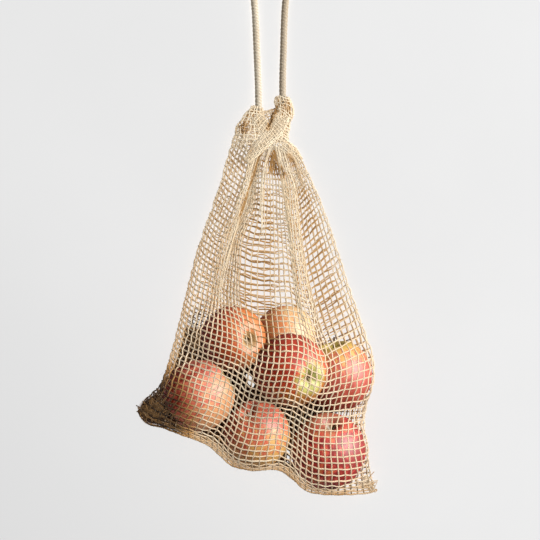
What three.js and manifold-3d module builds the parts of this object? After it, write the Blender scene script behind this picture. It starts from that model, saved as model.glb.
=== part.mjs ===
// Jute produce bag: an open net bag, full of round fruit, drawn shut by a cord through its hem.
// It lies on its back. Millimetres, +Z up; +X is the bag's right and +Y runs from bottom seam to neck.
import * as THREE from "three";
import Module from "manifold-3d";

// The fruit that the net is stretched over: place of each centre, height of the centre, radius.
const FRUIT = [
  { x: -23.5, y: -41, height: 66, radius: 32 },
  { x: 28, y: -40, height: 30.5, radius: 30.5 },
  { x: 33, y: -71.5, height: 89.2, radius: 36 },
  { x: 79.8, y: -80, height: 35.5, radius: 35.5 },
  { x: -58.9, y: -99.5, height: 36, radius: 36 },
  { x: -0.3, y: -138.4, height: 33.5, radius: 33.5 },
  { x: 71.2, y: -155, height: 37.8, radius: 37.8 },
];
const NET_THICKNESS = 2;

// Outline of the laid bag, seen from above. Both sides run from the neck down to a bottom corner.
const LEFT_SIDE = [
  [-20.2, 172],
  [-35.7, 125.3],
  [-52, 76.6],
  [-67.2, 27.8],
  [-85.4, -45.3],
  [-93, -74],
  [-98, -87],
  [-107, -95.5],
  [-117.5, -105],
  [-121.5, -117.5],
];
const RIGHT_SIDE = [
  [33.6, 152.7],
  [40.2, 147.6],
  [51.3, 125.3],
  [64, 100.9],
  [80.8, 52.2],
  [96, 3.5],
  [109.8, -34.7],
  [118.4, -60],
  [118.4, -80],
  [113.4, -105],
  [109.2, -130],
  [109.5, -148],
  [115, -170],
  [121.5, -198.5],
];
const BOTTOM_SEAM = [
  [-121.5, -117.5],
  [-113, -129.5],
  [-91, -135],
  [-58.3, -147],
  [-42, -157.5],
  [-26, -171],
  [-2, -175.2],
  [16, -174.4],
  [31, -181.3],
  [47.3, -195],
  [60, -199.2],
  [90, -200.6],
  [112, -201.4],
  [121.5, -198.5],
];

// Height of the seams off the ground, and how near a fruit has to be to lift them to its own middle.
const SEAM_LIE = 8;
const CORNER_LIE = 3;
const CORNER_REACH = 34;
const LIFT_REACH = 26;
const UNDERSIDE_REACH = 30;
const NECK_LIE = 12;

// Over the fruit the net sinks a little between them: curvature of the sag, and where it sets in down the bag.
const NET_SAG = 0.015;
const NET_SAG_FROM = 0.45;
const NET_SAG_SPAN = 0.15;

// Pleats that fan out from the neck: where each starts and ends across the front, and how high it stands.
const PLEATS = [
  { neck: 0.42, skirt: 0.175, rise: 12 },
  { neck: 0.6, skirt: 0.47, rise: 8 },
  { neck: 0.8, skirt: 0.69, rise: 12 },
  { neck: 0.95, skirt: 0.93, rise: 8 },
];
const PLEAT_HALF_WIDTH = 8;
const PLEAT_LENGTH = 0.56;

// The hem, gathered on the cord, ends in two ears. Stations down each ear: place and half width.
const LEFT_EAR = [
  [1.1, 192.7, 5.6],
  [1.05, 188, 7],
  [-2.5, 182.5, 10.2],
  [-3.6, 176.5, 13],
  [-4.7, 168, 15.3],
  [-0.5, 147.6, 13],
  [3.6, 135.4, 10.5],
  [4.6, 123.2, 8],
];
const RIGHT_EAR = [
  [25.6, 201.4, 6.6],
  [25.7, 197.2, 8],
  [27.3, 189, 8.9],
  [24.7, 178, 9.3],
  [21.9, 165.8, 9.5],
  [20.9, 155.7, 11],
  [22.9, 142.5, 11.5],
  [28, 129.3, 10],
  [31, 117, 7.5],
];
const EAR_FLATTENING = 0.3;
const EAR_SIDES = 20;
const EAR_RINGS = 12;
const GATHER_DEPTH = 0.07;
const GATHERS = 5;

// The drawstring: one cord, out of the left ear, round a loop and back into the right ear.
const CORD_DIAMETER = 7;
const CORD_SIDES = 10;
const CORD_STEPS = 64;
const CORD_ROUTE = [
  [1.1, 193.1, 5.6],
  [1, 201, 5.2],
  [0.7, 214, 4.1],
  [0.1, 230, 3.6],
  [-0.7, 248, 3.6],
  [-1.5, 268, 3.6],
  [-2.4, 288, 3.6],
  [-3.4, 300, 3.6],
  [-3.2, 309, 3.6],
  [0.6, 318, 3.6],
  [7.2, 323.2, 3.6],
  [15, 323.9, 3.6],
  [22.6, 320.4, 3.6],
  [27.8, 313.2, 3.6],
  [28.8, 304, 3.6],
  [27.7, 288, 3.6],
  [26.9, 268, 3.6],
  [26.4, 248, 3.6],
  [25.9, 232, 3.9],
  [25.6, 218, 5.2],
  [25.6, 209, 6.3],
  [25.6, 201.8, 6.6],
];

// Mesh of the bag: steps across and along it, crowded towards the sides and the bottom seam.
const ACROSS = 38;
const ALONG = 46;
const SIDE_CROWDING = 0.62;
const BOTTOM_CROWDING = 0.45;
const SWEEPS = 500;
const OVER_RELAX = 1.5;
const WEFT_TENSION = 0.5;

const { Manifold, Mesh } = await startJoiner();

async function startJoiner() {
  const joiner = await Module();
  joiner.setup();
  return joiner;
}

function curve2(points) {
  return new THREE.SplineCurve(points.map(([x, y]) => new THREE.Vector2(x, y)));
}

function smooth(t) {
  return THREE.MathUtils.smoothstep(t, 0, 1);
}

// Places of the net's knots, seen from above: four edge curves with the inside blended between them.
function planOfBag() {
  const left = curve2(LEFT_SIDE);
  const right = curve2(RIGHT_SIDE);
  const bottom = curve2(BOTTOM_SEAM);
  const neckLeft = left.getPoint(0);
  const neckRight = right.getPoint(0);
  const cornerLeft = bottom.getPoint(0);
  const cornerRight = bottom.getPoint(1);
  const plan = [];
  for (let j = 0; j <= ALONG; j += 1) {
    const t = j / ALONG;
    const v = t + (BOTTOM_CROWDING * Math.sin(Math.PI * t)) / Math.PI;
    const row = [];
    for (let i = 0; i <= ACROSS; i += 1) {
      const s = i / ACROSS;
      const u = s - (SIDE_CROWDING * Math.sin(2 * Math.PI * s)) / (2 * Math.PI);
      const sides = left.getPointAt(v).lerp(right.getPointAt(v), u);
      const ends = neckLeft.clone().lerp(neckRight, u).lerp(bottom.getPointAt(u), v);
      const corners = neckLeft.clone().lerp(neckRight, u);
      corners.lerp(cornerLeft.clone().lerp(cornerRight, u), v);
      const place = sides.add(ends).sub(corners);
      row.push({ x: place.x, y: place.y, u, v });
    }
    plan.push(row);
  }
  return plan;
}

function distance(a, b) {
  return Math.hypot(a.x - b.x, a.y - b.y);
}

// Height of the top of the fruit over a place, or of its underside, with the net's thickness added.
function overFruit(place) {
  let top = -Infinity;
  for (const fruit of FRUIT) {
    const reach = fruit.radius + NET_THICKNESS;
    const away = distance(place, fruit);
    if (away < reach) {
      top = Math.max(top, fruit.height + Math.sqrt(reach * reach - away * away));
    }
  }
  return top;
}

function underFruit(place) {
  let underside = Infinity;
  for (const fruit of FRUIT) {
    const reach = fruit.radius + NET_THICKNESS;
    const away = distance(place, fruit);
    if (away < reach) {
      underside = Math.min(underside, fruit.height - Math.sqrt(reach * reach - away * away));
    }
  }
  return underside;
}

// Height of the seam at a place on the outline: low on the ground, or raised round a fruit beside it.
function seamHeight(place, corners) {
  let lie = SEAM_LIE;
  for (const corner of corners) {
    const near = Math.max(0, 1 - distance(place, corner) / CORNER_REACH);
    lie = Math.min(lie, SEAM_LIE + (CORNER_LIE - SEAM_LIE) * smooth(near));
  }
  let height = lie;
  for (const fruit of FRUIT) {
    const gap = Math.max(0, distance(place, fruit) - fruit.radius);
    const near = Math.max(0, 1 - gap / LIFT_REACH);
    height = Math.max(height, lie + (fruit.height - lie) * near * near);
  }
  return height + (NECK_LIE - height) * smooth(1 - place.v / 0.2);
}

// Heights round the outline, and a first guess inside that the sweeps below draw tight.
function rimHeights(plan) {
  const corners = [plan[ALONG][0], plan[ALONG][ACROSS]];
  return plan.map((row, j) =>
    row.map((place, i) => {
      const onRim = i === 0 || i === ACROSS || j === 0 || j === ALONG;
      return onRim ? seamHeight(place, corners) : Math.max(SEAM_LIE, overFruit(place));
    }),
  );
}

// Mean of the neighbours on either side, each weighted by nearness.
function between(before, after, toBefore, toAfter) {
  return (before * toAfter + after * toBefore) / (toBefore + toAfter);
}

// The front of the net: drawn between its seams, held up by the fruit and sunk between them.
function frontHeights(plan) {
  const heights = rimHeights(plan);
  const back = backHeights(plan, heights);
  for (let sweep = 0; sweep < SWEEPS; sweep += 1) {
    for (let j = 1; j < ALONG; j += 1) {
      for (let i = 1; i < ACROSS; i += 1) {
        const place = plan[j][i];
        const toLeft = distance(place, plan[j][i - 1]);
        const toRight = distance(place, plan[j][i + 1]);
        const toNeck = distance(place, plan[j - 1][i]);
        const toBottom = distance(place, plan[j + 1][i]);
        const across = between(heights[j][i - 1], heights[j][i + 1], toLeft, toRight);
        const along = between(heights[j - 1][i], heights[j + 1][i], toNeck, toBottom);
        const pullAcross = WEFT_TENSION / (toLeft * toRight);
        const pullAlong = 1 / (toNeck * toBottom);
        const sag = NET_SAG * smooth((place.v - NET_SAG_FROM) / NET_SAG_SPAN);
        const drawn = (across * pullAcross + along * pullAlong - sag) / (pullAcross + pullAlong);
        const eased = heights[j][i] + OVER_RELAX * (drawn - heights[j][i]);
        heights[j][i] = Math.max(eased, overFruit(place), back[j][i] + NET_THICKNESS);
      }
    }
  }
  return heights.map((row, j) => row.map((height, i) => height + pleatRise(plan, j, i)));
}

// Height that the pleats add at a place on the front.
function pleatRise(plan, j, i) {
  const { u, v } = plan[j][i];
  const onRim = i === 0 || i === ACROSS || j === 0;
  if (onRim || v > PLEAT_LENGTH) {
    return 0;
  }
  const width = distance(plan[j][0], plan[j][ACROSS]);
  const swell = Math.sin((Math.PI * v) / PLEAT_LENGTH);
  let rise = 0;
  for (const pleat of PLEATS) {
    const middle = pleat.neck + (pleat.skirt - pleat.neck) * smooth(v / 0.4);
    const off = ((u - middle) * width) / PLEAT_HALF_WIDTH;
    rise += pleat.rise * swell * Math.exp(-off * off);
  }
  return rise;
}

// The back of the net: flat on the ground, turning up to the seams round its rim.
function backHeights(plan, front) {
  return plan.map((row, j) =>
    row.map((place, i) => {
      const ends = [
        [j, 0],
        [j, ACROSS],
        [ALONG, i],
        [0, i],
      ];
      let height = 0;
      for (const [endJ, endI] of ends) {
        const near = Math.max(0, 1 - distance(place, plan[endJ][endI]) / UNDERSIDE_REACH);
        height = Math.max(height, front[endJ][endI] * near * near);
      }
      return Math.max(0, Math.min(height, underFruit(place)));
    }),
  );
}

// One closed skin from the front and the back, which share the outline.
function bagSkin() {
  const plan = planOfBag();
  const front = frontHeights(plan);
  const back = backHeights(plan, front);
  const positions = [];
  const frontAt = [];
  const backAt = [];
  for (let j = 0; j <= ALONG; j += 1) {
    frontAt.push([]);
    backAt.push([]);
    for (let i = 0; i <= ACROSS; i += 1) {
      const { x, y } = plan[j][i];
      const onRim = i === 0 || i === ACROSS || j === 0 || j === ALONG;
      frontAt[j].push(positions.length / 3);
      positions.push(x, y, front[j][i]);
      backAt[j].push(onRim ? frontAt[j][i] : positions.length / 3);
      if (!onRim) {
        positions.push(x, y, back[j][i]);
      }
    }
  }
  const triangles = [];
  for (let j = 0; j < ALONG; j += 1) {
    for (let i = 0; i < ACROSS; i += 1) {
      const f = [frontAt[j][i], frontAt[j + 1][i], frontAt[j + 1][i + 1], frontAt[j][i + 1]];
      const b = [backAt[j][i], backAt[j + 1][i], backAt[j + 1][i + 1], backAt[j][i + 1]];
      addQuad(triangles, f, (i < ACROSS / 2) === (j < ALONG / 2));
      addQuad(triangles, b.reverse(), (i < ACROSS / 2) === (j < ALONG / 2));
    }
  }
  return { positions, triangles };
}

// Two triangles, split along one diagonal or the other.
function addQuad(triangles, [a, b, c, d], otherWay) {
  if (otherWay) {
    triangles.push(a, b, d, b, c, d);
  } else {
    triangles.push(a, b, c, a, c, d);
  }
}

// One ear of the gathered hem: a ribbed tube that lies on the ground and widens into the neck.
function earSkin(stations) {
  const line = new THREE.CatmullRomCurve3(stations.map(([x, y, r]) => new THREE.Vector3(x, y, r)));
  const positions = [];
  const triangles = [];
  for (let ring = 0; ring <= EAR_RINGS; ring += 1) {
    const t = ring / EAR_RINGS;
    const middle = line.getPoint(t);
    const ahead = line.getTangent(t).setZ(0).normalize();
    const flatness = 1 - EAR_FLATTENING * smooth(4 * t);
    for (let side = 0; side < EAR_SIDES; side += 1) {
      const turn = (2 * Math.PI * side) / EAR_SIDES;
      const ribbed = 1 - GATHER_DEPTH * (1 + Math.cos(GATHERS * turn)) * smooth(4 * t);
      const out = middle.z * ribbed * Math.cos(turn);
      const up = middle.z * flatness * (1 + ribbed * Math.sin(turn));
      positions.push(middle.x + ahead.y * out, middle.y - ahead.x * out, up);
    }
  }
  for (let ring = 0; ring < EAR_RINGS; ring += 1) {
    for (let side = 0; side < EAR_SIDES; side += 1) {
      const next = (side + 1) % EAR_SIDES;
      const near = ring * EAR_SIDES;
      const far = near + EAR_SIDES;
      addQuad(triangles, [near + side, far + side, far + next, near + next], false);
    }
  }
  capRing(positions, triangles, 0, line.getPoint(0), true);
  capRing(positions, triangles, EAR_RINGS * EAR_SIDES, line.getPoint(1), false);
  return { positions, triangles };
}

function capRing(positions, triangles, start, middle, atFront) {
  const hub = positions.length / 3;
  positions.push(middle.x, middle.y, middle.z);
  for (let side = 0; side < EAR_SIDES; side += 1) {
    const next = (side + 1) % EAR_SIDES;
    if (atFront) {
      triangles.push(hub, start + side, start + next);
    } else {
      triangles.push(hub, start + next, start + side);
    }
  }
}

function toManifold({ positions, triangles }) {
  const skin = new Mesh({
    numProp: 3,
    vertProperties: new Float32Array(positions),
    triVerts: new Uint32Array(triangles),
  });
  skin.merge();
  return new Manifold(skin);
}

function toGeometry(manifold) {
  const skin = manifold.getMesh();
  const geometry = new THREE.BufferGeometry();
  const positions = new THREE.BufferAttribute(new Float32Array(skin.vertProperties), 3);
  geometry.setAttribute("position", positions);
  geometry.setIndex(new THREE.BufferAttribute(new Uint32Array(skin.triVerts), 1));
  geometry.computeVertexNormals();
  return geometry;
}

function bagGeometry() {
  const skins = [bagSkin(), earSkin(LEFT_EAR), earSkin(RIGHT_EAR)];
  return toGeometry(Manifold.union(skins.map(toManifold)));
}

function cordGeometry() {
  const route = new THREE.CatmullRomCurve3(CORD_ROUTE.map((point) => new THREE.Vector3(...point)));
  const section = new THREE.Shape();
  for (let side = 0; side < CORD_SIDES; side += 1) {
    const turn = (2 * Math.PI * side) / CORD_SIDES;
    const x = (CORD_DIAMETER / 2) * Math.cos(turn);
    const y = (CORD_DIAMETER / 2) * Math.sin(turn);
    if (side === 0) {
      section.moveTo(x, y);
    } else {
      section.lineTo(x, y);
    }
  }
  section.closePath();
  return new THREE.ExtrudeGeometry(section, {
    steps: CORD_STEPS,
    extrudePath: route,
    bevelEnabled: false,
  });
}

function namedMesh(name, geometry, color, roughness) {
  const material = new THREE.MeshStandardMaterial({ color, roughness, metalness: 0 });
  const mesh = new THREE.Mesh(geometry, material);
  mesh.name = name;
  return mesh;
}

const bag = new THREE.Group();
bag.name = "jute_produce_bag";
bag.add(namedMesh("net_bag", bagGeometry(), 0xcdb08a, 0.9));
bag.add(namedMesh("drawstring", cordGeometry(), 0xe6ddc9, 0.85));

export default bag;
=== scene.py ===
"""Looks of the jute produce bag: an open net drawn over apples, its gathered hem and its cotton cord."""

import math

import bpy
import numpy as np
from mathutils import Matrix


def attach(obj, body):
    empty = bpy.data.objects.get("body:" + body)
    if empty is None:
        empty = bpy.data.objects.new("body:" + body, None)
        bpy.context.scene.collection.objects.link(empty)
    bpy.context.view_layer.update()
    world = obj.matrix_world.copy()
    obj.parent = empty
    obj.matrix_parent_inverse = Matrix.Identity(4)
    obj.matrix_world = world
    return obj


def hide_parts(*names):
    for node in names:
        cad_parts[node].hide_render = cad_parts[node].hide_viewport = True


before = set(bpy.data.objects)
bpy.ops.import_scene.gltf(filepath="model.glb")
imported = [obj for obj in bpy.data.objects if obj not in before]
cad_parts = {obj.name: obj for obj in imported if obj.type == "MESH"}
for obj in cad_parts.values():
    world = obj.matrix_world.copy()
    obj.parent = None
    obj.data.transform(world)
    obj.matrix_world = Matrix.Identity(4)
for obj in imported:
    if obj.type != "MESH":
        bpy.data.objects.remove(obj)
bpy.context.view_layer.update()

MM = 0.001  # sizes below are millimetres, in the frame's own axes
CURVE_STEPS = 40  # samples of a curve for each point that it goes through
rng = np.random.default_rng(11)

# Camera: straight above, with the picture's middle over VIEW_CENTRE and VIEW_WIDTH across it at SEAM_PLANE.
VIEW_CENTRE = (12.75, 25.8)
VIEW_WIDTH = 540
SEAM_PLANE = 36
CAMERA_HEIGHT = 1800
SENSOR = 36

FLOOR_HALF = 4000
WORLD_LIGHT = 0.055

# The floor under the apples, which the backdrop's lamp doesn't reach and which is painted a dark warm shade:
# its rim, height and soft edge.
SHADED_FLOOR = [
    (-74, -28), (-84, -58), (-92, -80), (-104, -97), (-117.5, -106.5), (-122.5, -117), (-114.5, -131.5),
    (-91.5, -136), (-59, -148), (-43, -158.5), (-26.5, -172), (-2, -176.3), (15, -175.6), (26, -180),
    (37, -186.5), (47, -195.5), (60, -200), (80, -201), (84, -170), (80, -120), (80, -80), (28, -40),
    (-23, -40),
]
SHADED_LIFT = 0.2
SHADED_FADE = 3.5
SHADED_FINE = 600
SHADED_STEPS = 160
# Places in it that the lamp reaches between the apples.
LIT_SPOTS = (
    ((30, -170), (36, -172), (36, -164), (34, -157), (30, -158)),
    ((-12, -81), (-9.5, -90), (-5, -95), (-3, -91), (-5, -84), (-8, -79)),
)

# Lamps, in metres: place, aim, size and watts.
LAMPS = dict(
    key=((1.28, 0.45, 0.7), (0, -0.03, 0.03), 0.9, 23.5),
    front=((0.05, 0.25, 1.9), (0.03, 0.03, 0), 0.6, 24),
    brow=((0.45, 0.25, 1.9), (0.03, 0.03, 0), 0.6, 10),
    glow=((1.28, 0.4, 0.62), (0, -0.06, 0.03), 0.9, 31.5),
    fill=((0.45, 0.25, 1.9), (0.03, 0.03, 0), 0.6, 16),
    backdrop=((1.9, 0.4, 5.44), (-0.9, 0.5, 0), 0.8, 362),
)

# Drawstring, as in the solid.
CORD_DIAMETER = 7
CORD_ROUTE = [
    (1.1, 193.1, 5.6), (1, 201, 5.2), (0.7, 214, 4.1), (0.1, 230, 3.6), (-0.7, 248, 3.6), (-1.5, 268, 3.6),
    (-2.4, 288, 3.6), (-3.4, 300, 3.6), (-3.2, 309, 3.6), (0.6, 318, 3.6), (7.2, 323.2, 3.6), (15, 323.9, 3.6),
    (22.6, 320.4, 3.6), (27.8, 313.2, 3.6), (28.8, 304, 3.6), (27.7, 288, 3.6), (26.9, 268, 3.6),
    (26.4, 248, 3.6), (25.9, 232, 3.9), (25.6, 218, 5.2), (25.6, 209, 6.3), (25.6, 201.8, 6.6),
]
CORD_TUCK = (0, -9, 0.4)  # how each end runs on inside the hem
CORD_RETURN = 0.5  # how much browner the strand on the right is
CORD_STEPS = 520
CORD_SIDES = 24
CORD_PLIES = 4  # of the braid, each way round, with the length of a turn and the relief
CORD_TURN = 4.5
CORD_RELIEF = 0.2
CORD_SINK = 0.12

# Apples: centre, radius, way the stem points, way the red side faces, how far the red spreads, and tones of the
# ground, the blush, the deep red and the ends; the deep red is partly the apple's own colour and partly painted
# shade where the red faces away from the lamps. Some also have where the stem's cap starts, how strong the
# mottling is and how fine its patches are.
FRUIT = [
    dict(
        at=(-23.5, -41, 66), radius=32, stem=(0.6, -0.06, 0.8), red=(-0.95, -0.1, 0.1), spread=-0.02, cap=0.93,
        tones=((0.78, 0.23, 0.045), (0.62, 0.085, 0.014), (0.4, 0.022, 0.003), (0.62, 0.34, 0.12)),
    ),
    dict(
        at=(28, -40, 30.5), radius=30.5, stem=(0.3, 0.8, -0.5), red=(-0.9, -0.2, 0.2), spread=-0.2,
        tones=((0.95, 0.58, 0.26), (0.95, 0.32, 0.1), (0.85, 0.2, 0.05), (0.8, 0.55, 0.2)),
    ),
    dict(
        at=(33, -71.5, 89.2), radius=36, stem=(-0.54, 0.18, -0.82), red=(-0.5, 0.8, 0.3), spread=0.12,
        tones=((0.62, 0.2, 0.015), (0.71, 0.065, 0.014), (0.46, 0.025, 0.003), (0.56, 0.53, 0.12)),
    ),
    dict(
        at=(79.8, -80, 35.5), radius=35.5, stem=(-0.15, 0.97, 0.2), red=(0.25, -0.85, 0.15), spread=0.2,
        tones=((0.78, 0.41, 0.09), (0.68, 0.11, 0.065), (0.5, 0.06, 0.03), (0.66, 0.5, 0.1)),
    ),
    dict(
        at=(-58.9, -99.5, 36), radius=36, stem=(-0.8, -0.55, 0.1), red=(-0.75, 0.45, 0.3), spread=-0.15,
        tones=((0.9, 0.4, 0.16), (0.82, 0.17, 0.09), (0.36, 0.024, 0.004), (0.3, 0.24, 0.06)),
    ),
    dict(
        at=(-0.3, -138.4, 33.5), radius=33.5, stem=(0.3, -0.75, -0.55), red=(-0.2, 0.8, 0.3), spread=-0.15,
        tones=((0.86, 0.46, 0.12), (0.8, 0.155, 0.07), (0.5, 0.055, 0.01), (0.66, 0.45, 0.14)),
    ),
    dict(
        at=(71.2, -155, 37.8), radius=37.8, stem=(0.02, 0.86, 0.5), red=(0.5, -0.1, 0.3), spread=0.02,
        tones=((0.87, 0.24, 0.07), (0.77, 0.08, 0.05), (0.36, 0.016, 0.012), (0.46, 0.12, 0.06)),
        mottled=5.0, patches=5.0,
    ),
]
for fruit in FRUIT:
    fruit["at"] = np.array(fruit["at"], float)

# Where the red shows: shares of the streaks, the mottling and the clouds. Then the skin's specks and hollows.
STREAKED = 2.8
MOTTLED = 1.7
CLOUDED = 0.8
PATCHES = 11.0
SPECKS = (0.8, 0.5, 0.28)
HOLLOWS = (0.24, 0.14, 0.045)

# Yarn tones: painted warm light reflected from the apples beside them, then light, dark, then painted shade and
# painted deep shade.
JUTE_TONES = (
    (0.98, 0.72, 0.47), (0.94, 0.8, 0.59), (0.72, 0.5, 0.28), (0.46, 0.225, 0.058), (0.035, 0.015, 0.005),
)
COTTON_TONES = ((0.98, 0.88, 0.71), (0.98, 0.88, 0.71), (0.7, 0.56, 0.39), (0.4, 0.3, 0.2), (0.2, 0.14, 0.1))

# Outline of the laid bag, as in the solid.
LEFT_SIDE = [
    (-20.2, 172), (-35.7, 125.3), (-52, 76.6), (-67.2, 27.8), (-85.4, -45.3), (-93, -74), (-98, -87),
    (-107, -95.5), (-117.5, -105), (-121.5, -117.5),
]
RIGHT_SIDE = [
    (33.6, 152.7), (40.2, 147.6), (51.3, 125.3), (64, 100.9), (80.8, 52.2), (96, 3.5), (109.8, -34.7),
    (118.4, -60), (118.4, -80), (113.4, -105), (109.2, -130), (109.5, -148), (115, -170), (121.5, -198.5),
]
BOTTOM_SEAM = [
    (-121.5, -117.5), (-113, -129.5), (-91, -135), (-58.3, -147), (-42, -157.5), (-26, -171), (-2, -175.2),
    (16, -174.4), (31, -181.3), (47.3, -195), (60, -199.2), (90, -200.6), (112, -201.4), (121.5, -198.5),
]
SEAM_LIE = 8
CORNER_LIE = 3
CORNER_REACH = 34
LIFT_REACH = 26
UNDERSIDE_REACH = 30
NECK_LIE = 12
NECK_FROM = 0.08  # these two of the bag's length
NECK_SPAN = 0.2
NET_SAG = 0.015
NET_SAG_DOWN = (0.45, 0.15)  # where it starts down the bag, and over how far
ACROSS_PULL = 0.5  # of the net's pull along the bag
SWEEPS = 900
EASING = 1.85

# Ears of the gathered hem, as in the solid: stations from each mouth down into the neck.
LEFT_EAR = [
    (1.1, 192.7, 5.6), (1.05, 188, 7), (-2.5, 182.5, 10.2), (-3.6, 176.5, 13), (-4.7, 168, 15.3),
    (-0.5, 147.6, 13), (3.6, 135.4, 10.5), (4.6, 123.2, 8),
]
RIGHT_EAR = [
    (25.6, 201.4, 6.6), (25.7, 197.2, 8), (27.3, 189, 8.9), (24.7, 178, 9.3), (21.9, 165.8, 9.5),
    (20.9, 155.7, 11), (22.9, 142.5, 11.5), (28, 129.3, 10), (31, 117, 7.5),
]
EAR_DEPTH = 0.7  # of its half width
EAR_EDGE = 1.15
EAR_REACH = 0.14  # how far down the bag the net lies over the ears, and how high
OVER_EAR = 0.85

# Net: cells across one face and down the bag, yarn and weave.
CELLS_ACROSS = 40
CELLS_DOWN = 60
LAST_ROWS = (1, 0.9, 0.8, 0.65, 0.55, 0.45)  # heights of the cells that turn under at the bottom
YARN_RADIUS = 0.72
WEAVE = 0.5
YARN_SIDES = 6
STEPS_PER_CELL = 3
LOWEST = YARN_RADIUS + WEAVE
NET_GAP = 1.7  # from an apple's skin to the middle of the net
FLANK_SHARE = 0.2  # of the rise of a flank that counts when cells are shared out
SLUB = 0.13  # unevenness of the spun yarn, and the steps between its thick places
SLUB_STEPS = 6
UNEVEN = (0.75, 1.15)  # how much of the painted light and tone single yarns take, at random
SHIFTS = (0.2, 0.2, 0.08)  # of single crossings

# The net's top edge, drawn together under the casing of the hem.
FRONT_GATHER = [
    (-20.2, 172), (-14.5, 166.2), (-8.5, 159.1), (-1.4, 153.1), (4.7, 153.6), (10.7, 152.1), (17.8, 150),
    (24.9, 151.1), (30.9, 152.1), (33.6, 152.7),
]
GATHER_REACH = 0.16

# The slack upper part of the net lies in stretches of open cells and in folds. Each has its cells, those on the
# crest of a fold (the others hang below it), the fold's height and how far down the bag it stands.
STRETCHES = (
    (6, (0, 6), 0, 0.56),
    (4, (1, 3), 6, 0.475),
    (5, (0, 5), -5, 0.45),
    (5, (0, 5), 3, 0.185),
    (1, (0, 1), 0, 0.3),
    (4, (0, 4), -3, 0.23),
    (7, (2, 5), 8, 0.475),
    (5, (0, 5), 0, 0.56),
    (3, (0, 3), 2, 0.51),
)
STARTS = np.concatenate([[0], np.cumsum([cells for cells, *_ in STRETCHES])])
CREST_SHARE = 0.82  # of a fold's width that its crest takes
FOLD_DROP = 1.3  # of the rise, from the crest to the columns below it
FOLD_FADES = (0.1, 0.2)  # of the bag's length, where a fold starts and where it runs out
# Where the stretches end across the bag, at several places down it.
STRETCH_DOWN = (0, 0.075, 0.135, 0.225, 0.345, 0.495)
STRETCH_ENDS = (
    (0, 0.42, 0.47, 0.52, 0.6, 0.64, 0.74, 0.82, 0.91, 1),
    (0, 0.275, 0.342, 0.41, 0.53, 0.56, 0.68, 0.785, 0.89, 1),
    (0, 0.247, 0.293, 0.35, 0.5, 0.53, 0.66, 0.77, 0.88, 1),
    (0, 0.207, 0.272, 0.355, 0.5, 0.52, 0.63, 0.742, 0.908, 1),
    (0, 0.15, 0.205, 0.27, 0.5, 0.52, 0.64, 0.73, 0.92, 1),
    (0, 0.154, 0.2, 0.293, 0.498, 0.51, 0.643, 0.752, 0.945, 1),
)
ENDS_BLUR = 11
EVEN_FROM = 0.5
EVEN_BY = 0.68
SLACK_TO = 0.45
SLACK_SPAN = 0.15

RIPPLE = 1.7  # waves of the rows of the slack net, how far down they reach and how they fade
RIPPLE_TO = 0.44
RIPPLE_FADE = 0.12
# Rows hang lower between the folds than at the right side: by what share of the bag, and up to which column.
SAG = 0.065
SAG_FROM = 28
SAG_SPAN = 0.3
SETTLE_SWEEPS = 4
SETTLE_FREE = 12  # rows below the hem that don't move freely
SETTLE_SHARES = (0.16, 0.1)  # across and along

# Panels of the slack part, from stretch to stretch, where the yarn is finer by a share of its thickness.
FINE_WARPS = ((3, 5, 0.25), (5, 6, 0.15), (7, 8, 0.25), (8, 9, 0.28))
FINE_WEFTS = ((3, 5, -0.12), (5, 6, 0.08), (7, 8, -0.18), (8, 9, 0.28))
PANEL_EDGE = 1.5  # columns over which a panel starts
PANEL_DOWN = (0.44, 0.1)

# Parts of the front in painted shade, from stretch to stretch: first, last, start and stop down the bag, and
# how much painted shade their warps and wefts take.
PAINTED_SHADE = (
    (0, 1, 0.45, 0.98, 0.1, 0.1),
    (0, 1, 0.04, 0.5, 0.12, 0.75),
    (2, 3, 0.02, 0.16, 0.7, 1.1),
    (3, 5, 0.02, 0.1, 0.6, 1.1),
    (1, 3, 0.17, 0.54, 0.22, 0.22),
    (3, 5, 0.1, 0.66, 0.05, 1.14),
    (5, 6, 0.1, 0.5, 0.0, 0.4),
    (7, 8, 0.1, 0.58, 0.3, 1.2),
)
SHADE_FADES = (0.06, 0.1)  # of the bag's length, at their start and at their stop
# Stretches where the far face lies askew under the near one, and how much painted shade it takes there.
ASKEW = ((2, 0.2), (6, 0.7))
ASKEW_CELLS = 0.5
APPLE_BOUNCE = 0.75  # painted warm light that the apples reflect onto the yarns over them, and how much
WARM_GAP = (3, 8)  # up to this far from an apple, then less over so far
WARM_TO = 0.4  # the painted shade at which yarns get none of it
EDGE_SHADE = 0.6  # painted shade at the left side, away from the light
EDGE_COLUMNS = 3.5
EDGE_DOWN = (0.3, 0.2)
SEAM_BROWN = 0.55  # at the bottom
SEAM_DOWN = (0.9, 0.08)
FAR_SHADE = 0.55  # painted shade on the far face, then how much more under the near one and below the slack part
FAR_MORE = (0.4, 1.05)
FAR_DOWN = (0.5, 0.12)
FAR_ROOM = 40  # between the faces
LIT_EDGE = (88, 16)  # where the painted shade on the far face lessens towards the right side, over how far, and how much
LIT_SHARE = 0.85
DARK_CORNER = 78  # reach of the painted shade on the tip of the bottom seam, and how dark it is
CORNER_SHADE = 1.95

# Painted shade in hollows of the hem: the line that each follows, its reach and how dark it is.
HEM_SHADE = (
    (((-14.6, 172), (-13, 168)), 6, 1.6),
    (((28, 194), (31, 190)), 5, 0.8),
    (((18.8, 191), (15.8, 181), (11, 169)), 3.6, 1.55),
    (((3, 140), (-4, 122), (-12, 98), (-17, 82)), 2.6, 1.25),
    (((13, 140), (18, 130), (24, 122)), 7, 1.5),
    (((23, 129), (25, 122)), 4, 1.6),
    (((7, 138), (5, 128)), 3, 0.9),
    (((-6, 150), (-9, 145)), 4, 0.7),
    (((32, 142), (37, 132)), 5, 0.8),
)
HOLLOW_STEPS = 12
HOLLOW_SHARP = 1.5


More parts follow.
